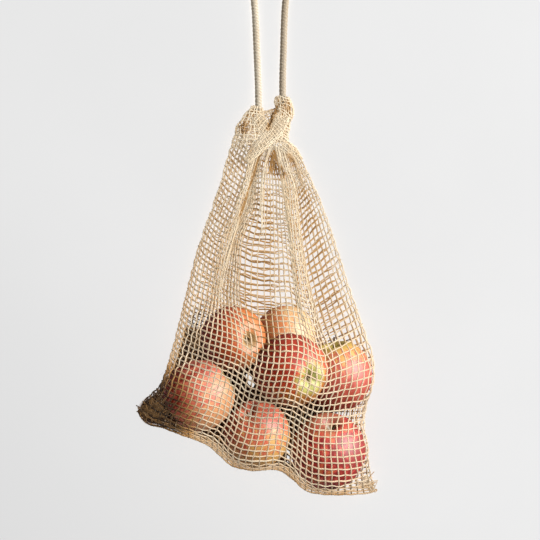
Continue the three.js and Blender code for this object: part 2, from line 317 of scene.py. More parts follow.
def smooth(t):
    t = np.clip(t, 0, 1)
    return t * t * (3 - 2 * t)


def grow(t, start, span):
    """0 up to a start, then up to 1 over a span."""
    return smooth((t - start) / span)


def fade(t, start, span):
    return 1 - grow(t, start, span)


def norm(v):
    return np.linalg.norm(v, axis=-1)


def unit(v):
    return v / np.maximum(norm(v)[..., None], 1e-9)


def running(line):
    """Length along a polyline up to each of its points."""
    return np.concatenate([[0], np.cumsum(norm(np.diff(line, axis=0)))])


def even(line, count):
    """Points at even spacing along a polyline."""
    along = running(line)
    at = np.linspace(0, along[-1], count)
    return np.stack([np.interp(at, along, column) for column in line.T], axis=1)


def axes(line):
    """Ways along a line, across it and up from it."""
    way = unit(np.gradient(line, axis=0))
    across = unit(np.cross(way, [0, 0, 1.0]))
    return way, across, np.cross(across, way)


def through(points, t):
    """The smooth curve through points, at positions t counted in points."""
    p = np.asarray(points, float)
    padded = np.concatenate([p[:1], p, p[-1:]])
    i = np.clip(np.floor(t).astype(int), 0, len(p) - 2)
    w = (np.asarray(t) - i).reshape(-1, *[1] * (p.ndim - 1))
    a, b, c, d = (padded[i + k] for k in range(4))
    return 0.5 * (2 * b + (c - a) * w + (2 * a - 5 * b + 4 * c - d) * w**2 + (3 * b - 3 * c + d - a) * w**3)


def spline(points, count):
    """Points at even spacing along the smooth curve through points."""
    return even(through(points, np.linspace(0, len(points) - 1, CURVE_STEPS * len(points))), count)


def put(name, data):
    thing = bpy.data.objects.new(name, data)
    bpy.context.collection.objects.link(thing)
    return thing


def rows_to_mesh(name, verts, quads, values, material, slot=None):
    """One piece from vertices in millimetres and quads, with named values or vectors kept on its points."""
    mesh = bpy.data.meshes.new(name)
    mesh.from_pydata(np.asarray(verts, np.float32) * MM, [], quads)
    mesh.shade_smooth()
    for key, value in values.items():
        value = np.asarray(value, np.float32)
        kind, field = ("FLOAT", "value") if value.ndim == 1 else ("FLOAT_VECTOR", "vector")
        mesh.attributes.new(key, kind, "POINT").data.foreach_set(field, value.ravel())
    mesh.validate()
    mesh.materials.append(material)
    piece = put(name, mesh)
    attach(piece, "root")
    return piece


def tubes(centres, radii, sides, normals=None, closed=False, painted_lights_and_tones=0.0):
    """Vertices, quads and values of round tubes along lines of equal length: centres is (tubes, steps, 3)."""
    lines, steps = centres.shape[:2]
    radii = np.broadcast_to(radii, (lines, steps))
    if closed:
        tangent = unit(np.roll(centres, -1, 1) - np.roll(centres, 1, 1))
    else:
        tangent = unit(np.gradient(centres, axis=1))
    if normals is None:
        helper = np.where(np.abs(tangent[:, 0, 2:3]) < 0.8, [[0, 0, 1.0]], [[1.0, 0, 0]])
        normals = np.empty_like(centres)
        for i in range(steps):
            helper = unit(helper - (helper * tangent[:, i]).sum(-1, keepdims=True) * tangent[:, i])
            normals[:, i] = helper
    side = unit(np.cross(tangent, normals))
    normals = np.cross(side, tangent)
    turn = 2 * np.pi * np.arange(sides) / sides
    ring = normals[:, :, None] * np.cos(turn)[:, None] + side[:, :, None] * np.sin(turn)[:, None]
    verts = centres[:, :, None] + ring * radii[:, :, None, None]
    index = np.arange(lines * steps * sides).reshape(lines, steps, sides)
    ahead = np.roll(index, -1, 1) if closed else index[:, 1:]
    here = index if closed else index[:, :-1]
    quads = [np.stack([here, np.roll(here, -1, 2), np.roll(ahead, -1, 2), ahead], -1).reshape(-1, 4)]
    if not closed:
        for end, order in ((0, (3, 2, 1, 0)), (-1, (0, 1, 2, 3))):
            for first in range(0, sides - 3, 2):
                cap = index[:, end, [0, first + 1, first + 2, first + 3]]
                quads.append(cap[:, order])
    along = np.concatenate([np.zeros((lines, 1)), np.cumsum(norm(np.diff(centres, axis=1)), 1)], 1)
    kind = rng.random((lines, 1, 1))
    yarn = np.stack(np.broadcast_arrays(along[:, :, None], turn[None, None], kind), -1)
    # Each point carries a value for the yarn material: above 0 mostly painted shade, with a browner tone at the
    # bottom seam and on the cord's right strand; below 0 painted warm light reflected from the apples.
    depth = np.repeat(np.broadcast_to(painted_lights_and_tones, (lines, steps))[:, :, None], sides, 2)
    return verts.reshape(-1, 3), np.concatenate(quads), {"yarn": yarn.reshape(-1, 3), "depth": depth.ravel()}


def join(*parts):
    """Several sets of vertices, quads and values as one."""
    verts, quads, count = [], [], 0
    for part in parts:
        verts.append(part[0])
        quads.append(part[1] + count)
        count += len(part[0])
    values = {key: np.concatenate([part[2][key] for part in parts]) for key in parts[0][2]}
    return np.concatenate(verts), np.concatenate(quads), values


# Materials


class Nodes:
    """Short names for building one material's nodes."""

    def __init__(self, name, roughness, specular, **coat):
        self.material = bpy.data.materials.new(name)
        self.material.use_nodes = True
        self.tree = self.material.node_tree
        self.shader = self.tree.nodes["Principled BSDF"]
        self.set(self.shader, {"Roughness": roughness, "Specular IOR Level": specular, **coat})

    def set(self, node, values):
        """Sets inputs of a node, or links them."""
        for key, value in values.items():
            if isinstance(value, bpy.types.NodeSocket):
                self.tree.links.new(value, node.inputs[key])
            else:
                socket = node.inputs[key]
                socket.default_value = (*value, 1) if socket.type == "RGBA" else value

    def add(self, kind, values, **settings):
        node = self.tree.nodes.new("ShaderNode" + kind)
        for key, value in settings.items():
            setattr(node, key, value)
        self.set(node, values)
        return node.outputs

    def place(self):
        return self.add("TexCoord", {})["Object"]

    def attribute(self, name, output="Vector"):
        return self.add("Attribute", {}, attribute_name=name)[output]

    def math(self, operation, a, b=0.0, c=0.0):
        return self.add("Math", {0: a, 1: b, 2: c}, operation=operation)[0]

    def plus(self, total, value, share):
        return self.math("MULTIPLY_ADD", value, share, total)

    def dot(self, a, b):
        return self.add("VectorMath", {0: a, 1: b}, operation="DOT_PRODUCT")["Value"]

    def vector(self, operation, a, b=(0, 0, 0)):
        return self.add("VectorMath", {0: a, 1: b}, operation=operation)["Vector"]

    def combine(self, x, y, z):
        return self.add("CombineXYZ", {0: x, 1: y, 2: z})[0]

    def split(self, vector):
        return self.add("SeparateXYZ", {0: vector})

    def noise(self, vector, scale, detail=3.0, roughness=0.55):
        values = {"Vector": vector, "Scale": scale, "Detail": detail, "Roughness": roughness}
        return self.add("TexNoise", values)[0]

    def ease(self, value, low, high):
        return self.add("MapRange", {0: value, 1: low, 2: high}, interpolation_type="SMOOTHSTEP")[0]

    def mix(self, factor, a, b):
        return self.add("Mix", {"Factor": factor, 6: a, 7: b}, data_type="RGBA")[2]

    def grain(self, scale, dark, light):
        """Two tones mixed by a fine noise."""
        return self.mix(self.ease(self.noise(self.place(), scale, 4.0), 0.3, 0.7), dark, light)

    def finish(self, colour, height=None, strength=0.0, distance=0.0):
        """Sets the colour, and the bumps if there are any."""
        self.set(self.shader, {"Base Color": colour})
        if height:
            bumps = self.add("Bump", {"Strength": strength, "Distance": distance, "Height": height})
            self.set(self.shader, {"Normal": bumps["Normal"]})
        return self.material


def yarn_material(name, tones, twist, fibre_scale):
    """Spun yarn: a twist round each strand, fibres of mixed tone, a tone for each strand, painted shade and
    painted warm light.
    """
    warm, light, dark, deep, darkest = tones
    n = Nodes(name, 0.92, 0.15, **{"Sheen Weight": 0.05})
    along, turn, kind = n.split(n.attribute("yarn"))
    ply = n.math("SINE", n.math("MULTIPLY", n.plus(turn, along, 2 * math.pi / twist), 2.0))
    fibre = n.noise(n.place(), fibre_scale, 4.0, 0.65)
    tone = n.plus(n.plus(fibre, ply, 0.14), kind, 0.3)
    tone = n.plus(tone, n.noise(n.place(), 55.0, 2.0), 0.5)
    depth = n.attribute("depth", "Fac")
    colour = n.mix(n.ease(tone, 0.45, 1.2), dark, light)
    # Below 0 the value mixes in painted warm light from the apples; from 0 to 1 the deep tone as painted shade;
    # from 1 to 2 the darkest tone as painted deep shade.
    colour = n.mix(n.math("MULTIPLY", depth, -1.0), colour, warm)
    colour = n.mix(depth, colour, n.mix(n.math("MULTIPLY", fibre, 0.35), deep, dark))
    colour = n.mix(n.math("SUBTRACT", depth, 1.0), colour, darkest)
    return n.finish(colour, n.plus(ply, fibre, 0.6), 0.55, 0.00025)


def apple_material(name, fruit, red_way):
    """The skin of an apple: a yellow ground under red that streaks from stem to eye, with pale specks."""
    n = Nodes(name, 0.58, 0.9, **{"Coat Weight": 0.6, "Coat Roughness": 0.52, "Coat IOR": 1.9})
    skin = n.attribute("skin")
    x, y, z = n.split(skin)
    round_way = n.vector("NORMALIZE", n.combine(x, y, 0.0))
    height = n.combine(0.0, 0.0, n.math("MULTIPLY", z, 0.3))
    streaks = n.noise(n.vector("ADD", round_way, height), 7.0, 4.0, 0.6)
    mottle = n.noise(skin, fruit.get("patches", PATCHES), 3.0, 0.65)
    mottled = fruit.get("mottled", MOTTLED)
    cover = n.math("ADD", n.dot(skin, red_way), fruit["spread"] - (STREAKED + mottled + CLOUDED) / 2)
    cover = n.plus(n.plus(cover, streaks, STREAKED), mottle, mottled)
    cover = n.plus(cover, n.noise(skin, 1.6, 2.0), CLOUDED)
    ends = n.math("MAXIMUM", n.ease(z, fruit.get("cap", 0.74), 0.97), n.ease(z, -0.8, -0.94))
    cover = n.plus(cover, ends, -0.6)
    ground, blush, deep, tips = fruit["tones"]
    base = n.mix(n.ease(cover, -0.45, 0.15), n.mix(ends, ground, tips), blush)
    # Deep red where the red is densest: partly the apple's own colour, partly painted shade where the red faces
    # away from the lamps.
    base = n.mix(n.ease(cover, 0.15, 0.9), base, deep)
    specks = n.ease(n.add("TexVoronoi", {"Vector": skin, "Scale": 12.0})["Distance"], 0.11, 0.05)
    base = n.mix(n.math("MULTIPLY", specks, 0.35), base, SPECKS)
    hollow = n.math("MAXIMUM", n.ease(z, 0.975, 0.995), n.ease(z, -0.985, -0.997))
    return n.finish(n.mix(hollow, base, HOLLOWS), mottle, 0.1, 0.0008)


def wood_material():
    n = Nodes("stem_wood", 0.8, 0.3)
    return n.finish(n.grain(900.0, (0.06, 0.03, 0.012), (0.16, 0.09, 0.035)))


def paper_material():
    """Paper backdrop, with painted shade that makes it a little darker towards the lower left of the picture.
    """
    n = Nodes("paper", 0.9, 0.3)
    shade, dark, light = ((v, v, v) for v in (0.715, 0.76, 0.78))
    lit = n.ease(n.dot(n.place(), (0.5, 0.5, 0)), -0.3, -0.02)
    return n.finish(n.mix(lit, shade, n.grain(3.0, dark, light)))


def shade_material():
    """Paper painted dark and warm as the apples' shade, which thins out at its rim."""
    n = Nodes("paper_shade", 0.95, 0.2)
    n.set(n.shader, {"Alpha": n.attribute("cover", "Fac")})
    return n.finish(n.mix(n.noise(n.place(), 60.0, 3.0), (0.4, 0.2, 0.1), (0.5, 0.26, 0.15)))


# Camera, floor and light


def set_camera():
    data = bpy.data.cameras.new("camera")
    data.sensor_width = SENSOR
    data.lens = SENSOR * (CAMERA_HEIGHT - SEAM_PLANE) / VIEW_WIDTH
    camera = put("camera", data)
    camera.location = (VIEW_CENTRE[0] * MM, VIEW_CENTRE[1] * MM, CAMERA_HEIGHT * MM)
    bpy.context.scene.camera = camera
    bpy.context.scene.view_settings.view_transform = "Standard"


def stage_piece(name, corners, height, faces, material):
    """A flat piece of the stage."""
    mesh = bpy.data.meshes.new(name)
    mesh.from_pydata([(x * MM, y * MM, height * MM) for x, y in corners], [], faces)
    mesh.materials.append(material)
    piece = put(name, mesh)
    return piece


def shade_floor():
    """The floor under the apples, painted a dark warm shade, which fades into the rest at its rim."""
    rim = even(spline(np.array(SHADED_FLOOR + SHADED_FLOOR[:1], float), SHADED_FINE), SHADED_STEPS + 1)[:-1]
    way = np.roll(rim, -1, 0) - np.roll(rim, 1, 0)
    inner = rim + unit(np.stack([-way[:, 1], way[:, 0]], -1)) * SHADED_FADE
    k = np.arange(SHADED_STEPS)
    after = np.roll(k, -1)
    faces = np.stack([k, after, after + SHADED_STEPS, k + SHADED_STEPS], -1).tolist()
    faces.append((k + SHADED_STEPS).tolist())
    under = stage_piece("floor_under", np.concatenate([rim, inner]), SHADED_LIFT, faces, shade_material())
    cover = under.data.attributes.new("cover", "FLOAT", "POINT")
    cover.data.foreach_set("value", np.repeat([0.0, 1.0], SHADED_STEPS))


def lay_floor():
    """The floor, its shaded part and the lit places in that; returns what the backdrop's lamp lights."""
    paper = paper_material()
    corners = FLOOR_HALF * np.array([(-1, -1), (1, -1), (1, 1), (-1, 1)])
    floor = stage_piece("floor", corners, 0, [(0, 1, 2, 3)], paper)
    floor.visible_glossy = False
    shade_floor()
    starts = np.cumsum([0] + [len(spot) for spot in LIT_SPOTS])
    faces = [tuple(range(a, b)) for a, b in zip(starts[:-1], starts[1:])]
    return [floor, stage_piece("floor_spots", sum(LIT_SPOTS, ()), 2 * SHADED_LIFT, faces, paper)]


def group(name, pieces):
    collection = bpy.data.collections.new(name)
    for piece in pieces:
        collection.objects.link(piece)
    return collection


def lamp(name, lit, blockers=None, bounces=None, glossy=True):
    """An area lamp for some pieces alone. Where blockers are given, nothing else shades what it lights."""
    at, to, size, watts = LAMPS[name]
    data = bpy.data.lights.new(name, "AREA")
    data.size = size
    data.energy = watts
    if bounces is not None:
        data.cycles.max_bounces = bounces
    light = put(name, data)
    light.location = at
    x, y, z = np.subtract(to, at)
    light.rotation_euler = (math.atan2(math.hypot(x, y), -z), 0, math.atan2(y, x) - math.pi / 2)
    light.visible_glossy = glossy
    light.light_linking.receiver_collection = group(name + "_lit", lit)
    if blockers:
        light.light_linking.blocker_collection = group(name + "_blockers", blockers)


def light_studio(floor, net, cord, fruit):
    """Side light and fill on the net and on the apples, and a lamp on the floor, as before a far backdrop."""
    hem = [piece for piece in net if piece.name == "hem_casing"]
    lamp("key", net + [cord], hem, 0)
    lamp("front", net, fruit, 0, glossy=False)
    lamp("brow", hem + [cord], floor, 0, glossy=False)
    lamp("glow", fruit, floor, 0)
    lamp("fill", fruit, None, 1, glossy=False)
    lamp("backdrop", floor, floor)
    world = bpy.data.worlds.new("studio")
    world.use_nodes = True
    background = world.node_tree.nodes["Background"]
    background.inputs["Color"].default_value = (1, 1, 1, 1)
    background.inputs["Strength"].default_value = WORLD_LIGHT
    bpy.context.scene.world = world


# Drawstring


def drawstring(material):
    """The cord, with its braid as relief on a round tube."""
    route = np.array(CORD_ROUTE, float)
    line = spline(np.vstack([route[0] + CORD_TUCK, route, route[-1] + CORD_TUCK]), CORD_STEPS)
    darker = CORD_RETURN * smooth((line[:, 0] - route[0, 0]) / (route[-1, 0] - route[0, 0]))
    verts, quads, values = tubes(line[None], CORD_DIAMETER / 2, CORD_SIDES, painted_lights_and_tones=darker[None])
    rings = verts.reshape(CORD_STEPS, CORD_SIDES, 3)
    along, turn, _ = values["yarn"].reshape(CORD_STEPS, CORD_SIDES, 3).transpose(2, 0, 1)
    slant = 2 * np.pi * along / CORD_TURN
    plies = np.maximum(np.cos(CORD_PLIES * turn + slant), np.cos(CORD_PLIES * turn - slant))
    rings = rings + unit(rings - line[:, None]) * (CORD_RELIEF * plies - CORD_SINK)[:, :, None]
    piece = rows_to_mesh("drawstring_cord", rings.reshape(-1, 3), quads, values, material, "cotton_cord")
    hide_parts("drawstring")
    return piece


# Shape of the laid net

FINE_ACROSS = 221
FINE_DOWN = 241
FINE_U = np.linspace(0, 1, FINE_ACROSS)
FINE_V = np.linspace(0, 1, FINE_DOWN)


def slack(down):
    """How slack the net is: 1 in its upper part, 0 over the apples."""
    return fade(down, SLACK_TO, SLACK_SPAN)


def plan_of_bag():
    left = spline(LEFT_SIDE, FINE_DOWN)[:, None]
    right = spline(RIGHT_SIDE, FINE_DOWN)[:, None]
    bottom = spline(BOTTOM_SEAM, FINE_ACROSS)[None]
    u = FINE_U[None, :, None]
    v = FINE_V[:, None, None]
    neck = left[0] * (1 - u) + right[0] * u
    sides = left * (1 - u) + right * u
    ends = neck * (1 - v) + bottom * v
    corners = neck * (1 - v) + (bottom[:, :1] * (1 - u) + bottom[:, -1:] * u) * v
    return sides + ends - corners


def fruit_faces(plan):
    """Heights of the apples' tops and undersides at each place, with the net's own gap."""
    top = np.full(plan.shape[:2], -1e6)
    under = np.full(plan.shape[:2], 1e6)
    for fruit in FRUIT:
        reach = fruit["radius"] + NET_GAP
        away = norm(plan - fruit["at"][:2])
        rise = np.sqrt(np.maximum(reach**2 - away**2, 0))
        top = np.where(away < reach, np.maximum(top, fruit["at"][2] + rise), top)
        under = np.where(away < reach, np.minimum(under, fruit["at"][2] - rise), under)
    return top, under


def seam_heights(plan):
    lie = np.full(plan.shape[:2], float(SEAM_LIE))
    for corner in (plan[-1, 0], plan[-1, -1]):
        near = 1 - norm(plan - corner) / CORNER_REACH
        lie = np.minimum(lie, SEAM_LIE + (CORNER_LIE - SEAM_LIE) * smooth(near))
    height = lie.copy()
    for fruit in FRUIT:
        gap = np.maximum(0, norm(plan - fruit["at"][:2]) - fruit["radius"])
        near = np.maximum(0, 1 - gap / LIFT_REACH)
        height = np.maximum(height, lie + (fruit["at"][2] - lie) * near**2)
    return height + (NECK_LIE - height) * smooth(1 - (FINE_V[:, None] - NECK_FROM) / NECK_SPAN)


def front_heights(plan, top, seam, back):
    """The front drawn between its seams, held up by the apples and sunk between them."""
    z = np.maximum(SEAM_LIE, top)
    least = np.maximum(top, back + NET_GAP)[1:-1, 1:-1]
    sag = NET_SAG * grow(FINE_V[1:-1, None], *NET_SAG_DOWN)
    for rim in (np.s_[0], np.s_[-1], np.s_[:, 0], np.s_[:, -1]):
        z[rim] = seam[rim]

    def gap(dj, di):
        moved = plan[1 + dj : FINE_DOWN - 1 + dj, 1 + di : FINE_ACROSS - 1 + di]
        return norm(plan[1:-1, 1:-1] - moved) + 1e-6

    left, right, up, down = gap(0, -1), gap(0, 1), gap(-1, 0), gap(1, 0)
    pull_across = ACROSS_PULL / (left * right)
    pull_along = 1 / (up * down)
    j, i = np.indices(left.shape)
    for _ in range(SWEEPS):
        for colour in (0, 1):
            across = (z[1:-1, :-2] * right + z[1:-1, 2:] * left) / (left + right)
            along = (z[:-2, 1:-1] * down + z[2:, 1:-1] * up) / (up + down)
            taut = (across * pull_across + along * pull_along - sag) / (pull_across + pull_along)
            inner = z[1:-1, 1:-1]
            eased = np.maximum(inner + EASING * (taut - inner), least)
            z[1:-1, 1:-1] = np.where((i + j) % 2 == colour, eased, inner)
    return z


def back_heights(plan, under, seam):
    height = np.zeros(plan.shape[:2])
    for rim in (np.s_[:, :1], np.s_[:, -1:], np.s_[-1:]):
        near = np.maximum(0, 1 - norm(plan - plan[rim]) / UNDERSIDE_REACH)
        height = np.maximum(height, seam[rim] * near**2)
    return np.maximum(LOWEST, np.minimum(np.maximum(height, LOWEST), under))


def stretched(line):
    """Length along a line of the net, where the cells on steep flanks are drawn out."""
    step = np.diff(line, axis=0)
    step[:, 2] *= FLANK_SHARE
    return np.concatenate([[0], np.cumsum(norm(step))])


def column_places(surface):
    """Where each column lies across a face at every fine row: in folds above, even over the apples."""
    kernel = np.hanning(2 * ENDS_BLUR + 1)
    kernel = kernel / kernel.sum()
    ends = [np.interp(FINE_V, STRETCH_DOWN, e) for e in np.array(STRETCH_ENDS).T]
    ends = [np.convolve(np.pad(e, ENDS_BLUR, mode="edge"), kernel, "valid") for e in ends]
    upper = [ends[0]]
    for number, (cells, (first, last), _, until) in enumerate(STRETCHES):
        crest = np.full(cells, (1 - CREST_SHARE) / max(1, cells - (last - first)))
        crest[first:last] = CREST_SHARE / (last - first) if last - first < cells else 1 / cells
        folded = fade(FINE_V, until, SLACK_SPAN)
        width = ends[number + 1] - ends[number]
        at = ends[number]
        for cell in range(cells):
            at = at + width * (crest[cell] * folded + (1 - folded) / cells)
            upper.append(at)
    upper = np.stack(upper, axis=1)
    columns = np.arange(CELLS_ACROSS + 1)
    lower = []
    for row in surface:
        along = stretched(row)
        lower.append(np.interp(columns / CELLS_ACROSS * along[-1], along, FINE_U))
    blend = smooth((FINE_V - EVEN_FROM) / (EVEN_BY - EVEN_FROM))[:, None]
    return upper * (1 - blend) + np.array(lower) * blend


def on_surface(surface, places):
    """Points of the net's columns on a face."""
    rows = [[np.interp(p, FINE_U, line) for line in row.T] for row, p in zip(surface, places)]
    return np.array(rows).transpose(0, 2, 1)


def ear_height(points, stations):
    """Height of the top of an ear over each place, or of its side where the place is outside the ear."""
    x, y, r = np.array(stations, float)[::-1].T
    at = points[..., 1]
    radius = np.interp(at, y, r)
    off = np.abs(points[..., 0] - np.interp(at, y, x)) / radius
    rise = np.sqrt(np.maximum(0, 1 - off**2))
    return np.where(off < EAR_EDGE, radius * EAR_DEPTH * (1 + rise), LOWEST)


def ears_height(points):
    return np.maximum(ear_height(points, LEFT_EAR), ear_height(points, RIGHT_EAR))


def hang_hem(columns, places, raised):
    """Draws the top of a face together under the casing."""
    line = spline(FRONT_GATHER, FINE_ACROSS)
    ends = np.stack([np.interp(places[0], FINE_U, line[:, k]) for k in (0, 1)], -1)
    drawn = fade(FINE_V, 0, GATHER_REACH)[:, None, None]
    columns = columns.copy()
    columns[:, :, :2] += (ends - columns[0, :, :2])[None] * drawn
    near = fade(FINE_V, 0, EAR_REACH)[:, None]
    ear = np.maximum(LOWEST, OVER_EAR * ears_height(columns) * raised)
    columns[:, :, 2] = columns[:, :, 2] * (1 - near) + ear * near
    return columns


def fold(columns):
    """Raises the crests of the folds and hangs their other columns below them."""
    rise = np.zeros((FINE_DOWN, CELLS_ACROSS + 1))
    for start, (cells, (first, last), height, until) in zip(STARTS, STRETCHES):
        c = np.arange(cells + 1)
        if last - first < cells:
            below = np.maximum(np.maximum(first - c, c - last), 0)
            shape = 1 - FOLD_DROP * below / max(first, cells - last)
        else:
            shape = np.sin(np.pi * c / cells)
        swell = smooth(FINE_V / FOLD_FADES[0]) * fade(FINE_V, until, FOLD_FADES[1])
        rise[:, start : start + cells + 1] += height * swell[:, None] * shape[None]
    columns = columns.copy()
    columns[:, :, 2] = np.maximum(LOWEST, columns[:, :, 2] + rise)
    return columns


def lay_net():
    """The crossings of the net on both faces: rows down the bag, columns right round it."""
    plan = plan_of_bag()
    top, under = fruit_faces(plan)
    seam = seam_heights(plan)
    back = back_heights(plan, under, seam)
    front = np.dstack([plan, front_heights(plan, top, seam, back)])
    back = np.dstack([plan, back])
    for rim in (np.s_[-1], np.s_[:, 0], np.s_[:, -1]):
        back[rim] = front[rim]
    places = column_places(front)
    front = fold(hang_hem(on_surface(front, places), places, 1))
    askew = np.zeros(CELLS_ACROSS + 1)
    for number, _ in ASKEW:
        askew[STARTS[number] : STARTS[number + 1]] = ASKEW_CELLS
    cell = np.diff(places, axis=1, append=places[:, -1:])
    back = hang_hem(on_surface(back, places + cell * askew * slack(FINE_V)[:, None]), places, 0)
    for side in (0, -1):
        back[:, side] = front[:, side]
    heights = np.ones(CELLS_DOWN)
    heights[-len(LAST_ROWS) :] = LAST_ROWS
    rows = np.concatenate([[0], np.cumsum(heights)]) / heights.sum()
    fine = np.arange(FINE_DOWN)
    faces = np.empty((2, CELLS_DOWN + 1, CELLS_ACROSS + 1, 3))
    for c in range(CELLS_ACROSS + 1):
        higher = SAG * smooth((c - SAG_FROM) / (CELLS_ACROSS - SAG_FROM))
        at = rows - higher * smooth(rows / SAG_SPAN) * fade(rows, 0.5, SAG_SPAN)
        along = stretched(front[:, c])
        shift = askew[c] / CELLS_DOWN * slack(rows)
        for face, columns in enumerate((front, back)):
            row_at = np.interp((at + face * shift) * along[-1], along, fine)
            faces[face, :, c] = np.stack([np.interp(row_at, fine, line) for line in columns[:, c].T], -1)
    return np.concatenate([faces[0], faces[1][:, -2:0:-1]], axis=1)


def settle(grid):
    """Rounds the folds at the sides, keeps the net off the apples and off the floor."""
    free = smooth(np.arange(len(grid)) / SETTLE_FREE)[:, None, None]
    share_across, share_along = SETTLE_SHARES
    for _ in range(SETTLE_SWEEPS):
        side = 0.5 * (np.roll(grid, 1, 1) + np.roll(grid, -1, 1))
        along = grid.copy()
        along[1:-1] = 0.5 * (grid[2:] + grid[:-2])
        moved = grid + free * (share_across * (side - grid) + share_along * (along - grid))
        moved[[0, -1]] = grid[[0, -1]]
        grid = moved
        for fruit in FRUIT:
            away = grid - fruit["at"]
            far = norm(away)[..., None]
            reach = fruit["radius"] + NET_GAP
            grid = np.where(far < reach, fruit["at"] + away / far * reach, grid)
        grid[:, :, 2] = np.maximum(grid[:, :, 2], LOWEST)
    return grid


def ripples(grid):
    """Waves of the rows of the slack net, which is drawn smooth over the apples."""
    wave = rng.normal(0, RIPPLE, grid.shape[:2])
    wave = 0.5 * wave + 0.5 * np.roll(wave, 1, 1)
    wave = 0.6 * wave + 0.4 * np.roll(wave, 1, 0)
    down = np.linspace(0, 1, len(grid))[:, None]
    return wave * smooth(down / RIPPLE_FADE) * fade(down, RIPPLE_TO, RIPPLE_FADE)


def tip_shade(points, sharpness):
    """How much painted shade the dark tip of the bottom seam takes."""
    near = 1 - norm(points[..., :2] - np.array(BOTTOM_SEAM[0])) / DARK_CORNER
    return CORNER_SHADE * smooth(sharpness * near)


def hem_shade(points):
    """How much painted shade the hem takes at each place."""
    shade = np.zeros(points.shape[:-1])
    for line, reach, amount in HEM_SHADE:
        away = norm(points[..., None, :2] - even(np.array(line, float), HOLLOW_STEPS)).min(-1)
        shade = np.maximum(shade, amount * smooth(HOLLOW_SHARP * (1 - away / reach)))
    return shade


def net_painted_light_and_tone(grid, part):
    """Painted light and tone on each crossing: painted shade up to 1 in folds and on the far face and up to 2
    in deep shade, painted warm light from the apples below 0 over an apple.
    """
    front, back = grid[:, : CELLS_ACROSS + 1], grid[:, CELLS_ACROSS + 1 :]
    columns = np.arange(CELLS_ACROSS + 1)
    down = np.linspace(0, 1, len(grid))[:, None]
    brown = SEAM_BROWN * grow(down, *SEAM_DOWN) * np.ones(front.shape[:2])
    # Painted shade on the panels of the front that the table lists.
    for first, last, start, stop, warp, weft in PAINTED_SHADE:
        t = (columns - STARTS[first]) / (STARTS[last] - STARTS[first])
        across = smooth(t * 4 + 0.5) * smooth((1 - t) * 4 + 0.5)
        along = grow(down, start, SHADE_FADES[0]) * smooth((stop - down) / SHADE_FADES[1])
        brown = np.maximum(brown, (warp if part == "warp" else weft) * across[None] * along)
    outer = EDGE_SHADE * fade(columns[None], 0, EDGE_COLUMNS) * grow(down, *EDGE_DOWN)
    brown = np.maximum(brown, outer)
    # Painted shade on the far face, more where it lies deep under the near one, less towards the right side.
    room = smooth((front[:, -2:0:-1, 2] - back[:, :, 2]) / FAR_ROOM)
    shown = grow(back[:, :, 0], *LIT_EDGE)
    more = FAR_MORE[0] + FAR_MORE[1] * grow(down, *FAR_DOWN)
    far = FAR_SHADE + more * room * (1 - LIT_SHARE * shown)
    for number, amount in ASKEW:
        t = (columns[-2:0:-1] + 0.5 - STARTS[number]) / (STARTS[number + 1] - STARTS[number])
        far = np.maximum(far, amount * ((t > 0) & (t < 1))[None] * slack(down))
    shade = np.maximum.reduce([np.concatenate([brown, far], axis=1), tip_shade(grid, 2), hem_shade(grid)])
    gap = np.min([norm(front - fruit["at"]) - fruit["radius"] for fruit in FRUIT], axis=0)
    # Painted warm light that the apples reflect: yarns of the near face close to an apple go below 0, unless
    # they are in painted shade.
    near_side = shade[:, : CELLS_ACROSS + 1]
    near_side -= APPLE_BOUNCE * fade(gap, *WARM_GAP) * fade(near_side, 0, WARM_TO)
    return shade


def net_normals(grid):
    down = np.gradient(grid, axis=0)
    across = np.roll(grid, -1, 1) - np.roll(grid, 1, 1)
    return unit(np.cross(down, across))


# Yarns of the net


def fine(columns, down, spans):
    """Share of the yarn's thickness, which differs on panels of the slack part."""
    column = CELLS_ACROSS - np.abs(columns - CELLS_ACROSS)
    share = np.ones(np.broadcast(columns, down).shape)
    for first, last, amount in spans:
        panel = smooth((column - STARTS[first]) / PANEL_EDGE + 0.5)
        panel = panel * smooth((STARTS[last] - column) / PANEL_EDGE + 0.5)
        share = share - amount * panel * fade(down, *PANEL_DOWN)
    return share


def slub(lines, steps):
    """Uneven thickness along spun yarns."""
    coarse = rng.normal(0, 1, (lines, steps // SLUB_STEPS + 4))
    places = np.arange(coarse.shape[1])
    at = np.linspace(0, places[-1], steps)
    return YARN_RADIUS * (1 + SLUB * np.stack([np.interp(at, places, c) for c in coarse]))


def warps(columns):
    """Yarns that run down the bag."""
    t = np.linspace(0, CELLS_DOWN, CELLS_DOWN * STEPS_PER_CELL + 1)
    lines = through(whole[:, columns], t).transpose(1, 0, 2)
    out = unit(through(normals[:, columns], t)).transpose(1, 0, 2)
    sign = np.cos(np.pi * (t[None] + columns[:, None]))
    lines = lines - out * (WEAVE * sign)[:, :, None]
    deep = through(warp_painted_light_and_tone[:, columns], t).T * rng.uniform(*UNEVEN, (len(columns), 1))
    radii = slub(len(columns), len(t)) * fine(columns[:, None], t[None] / t[-1], FINE_WARPS)
    return tubes(lines, radii, YARN_SIDES, out, painted_lights_and_tones=deep)


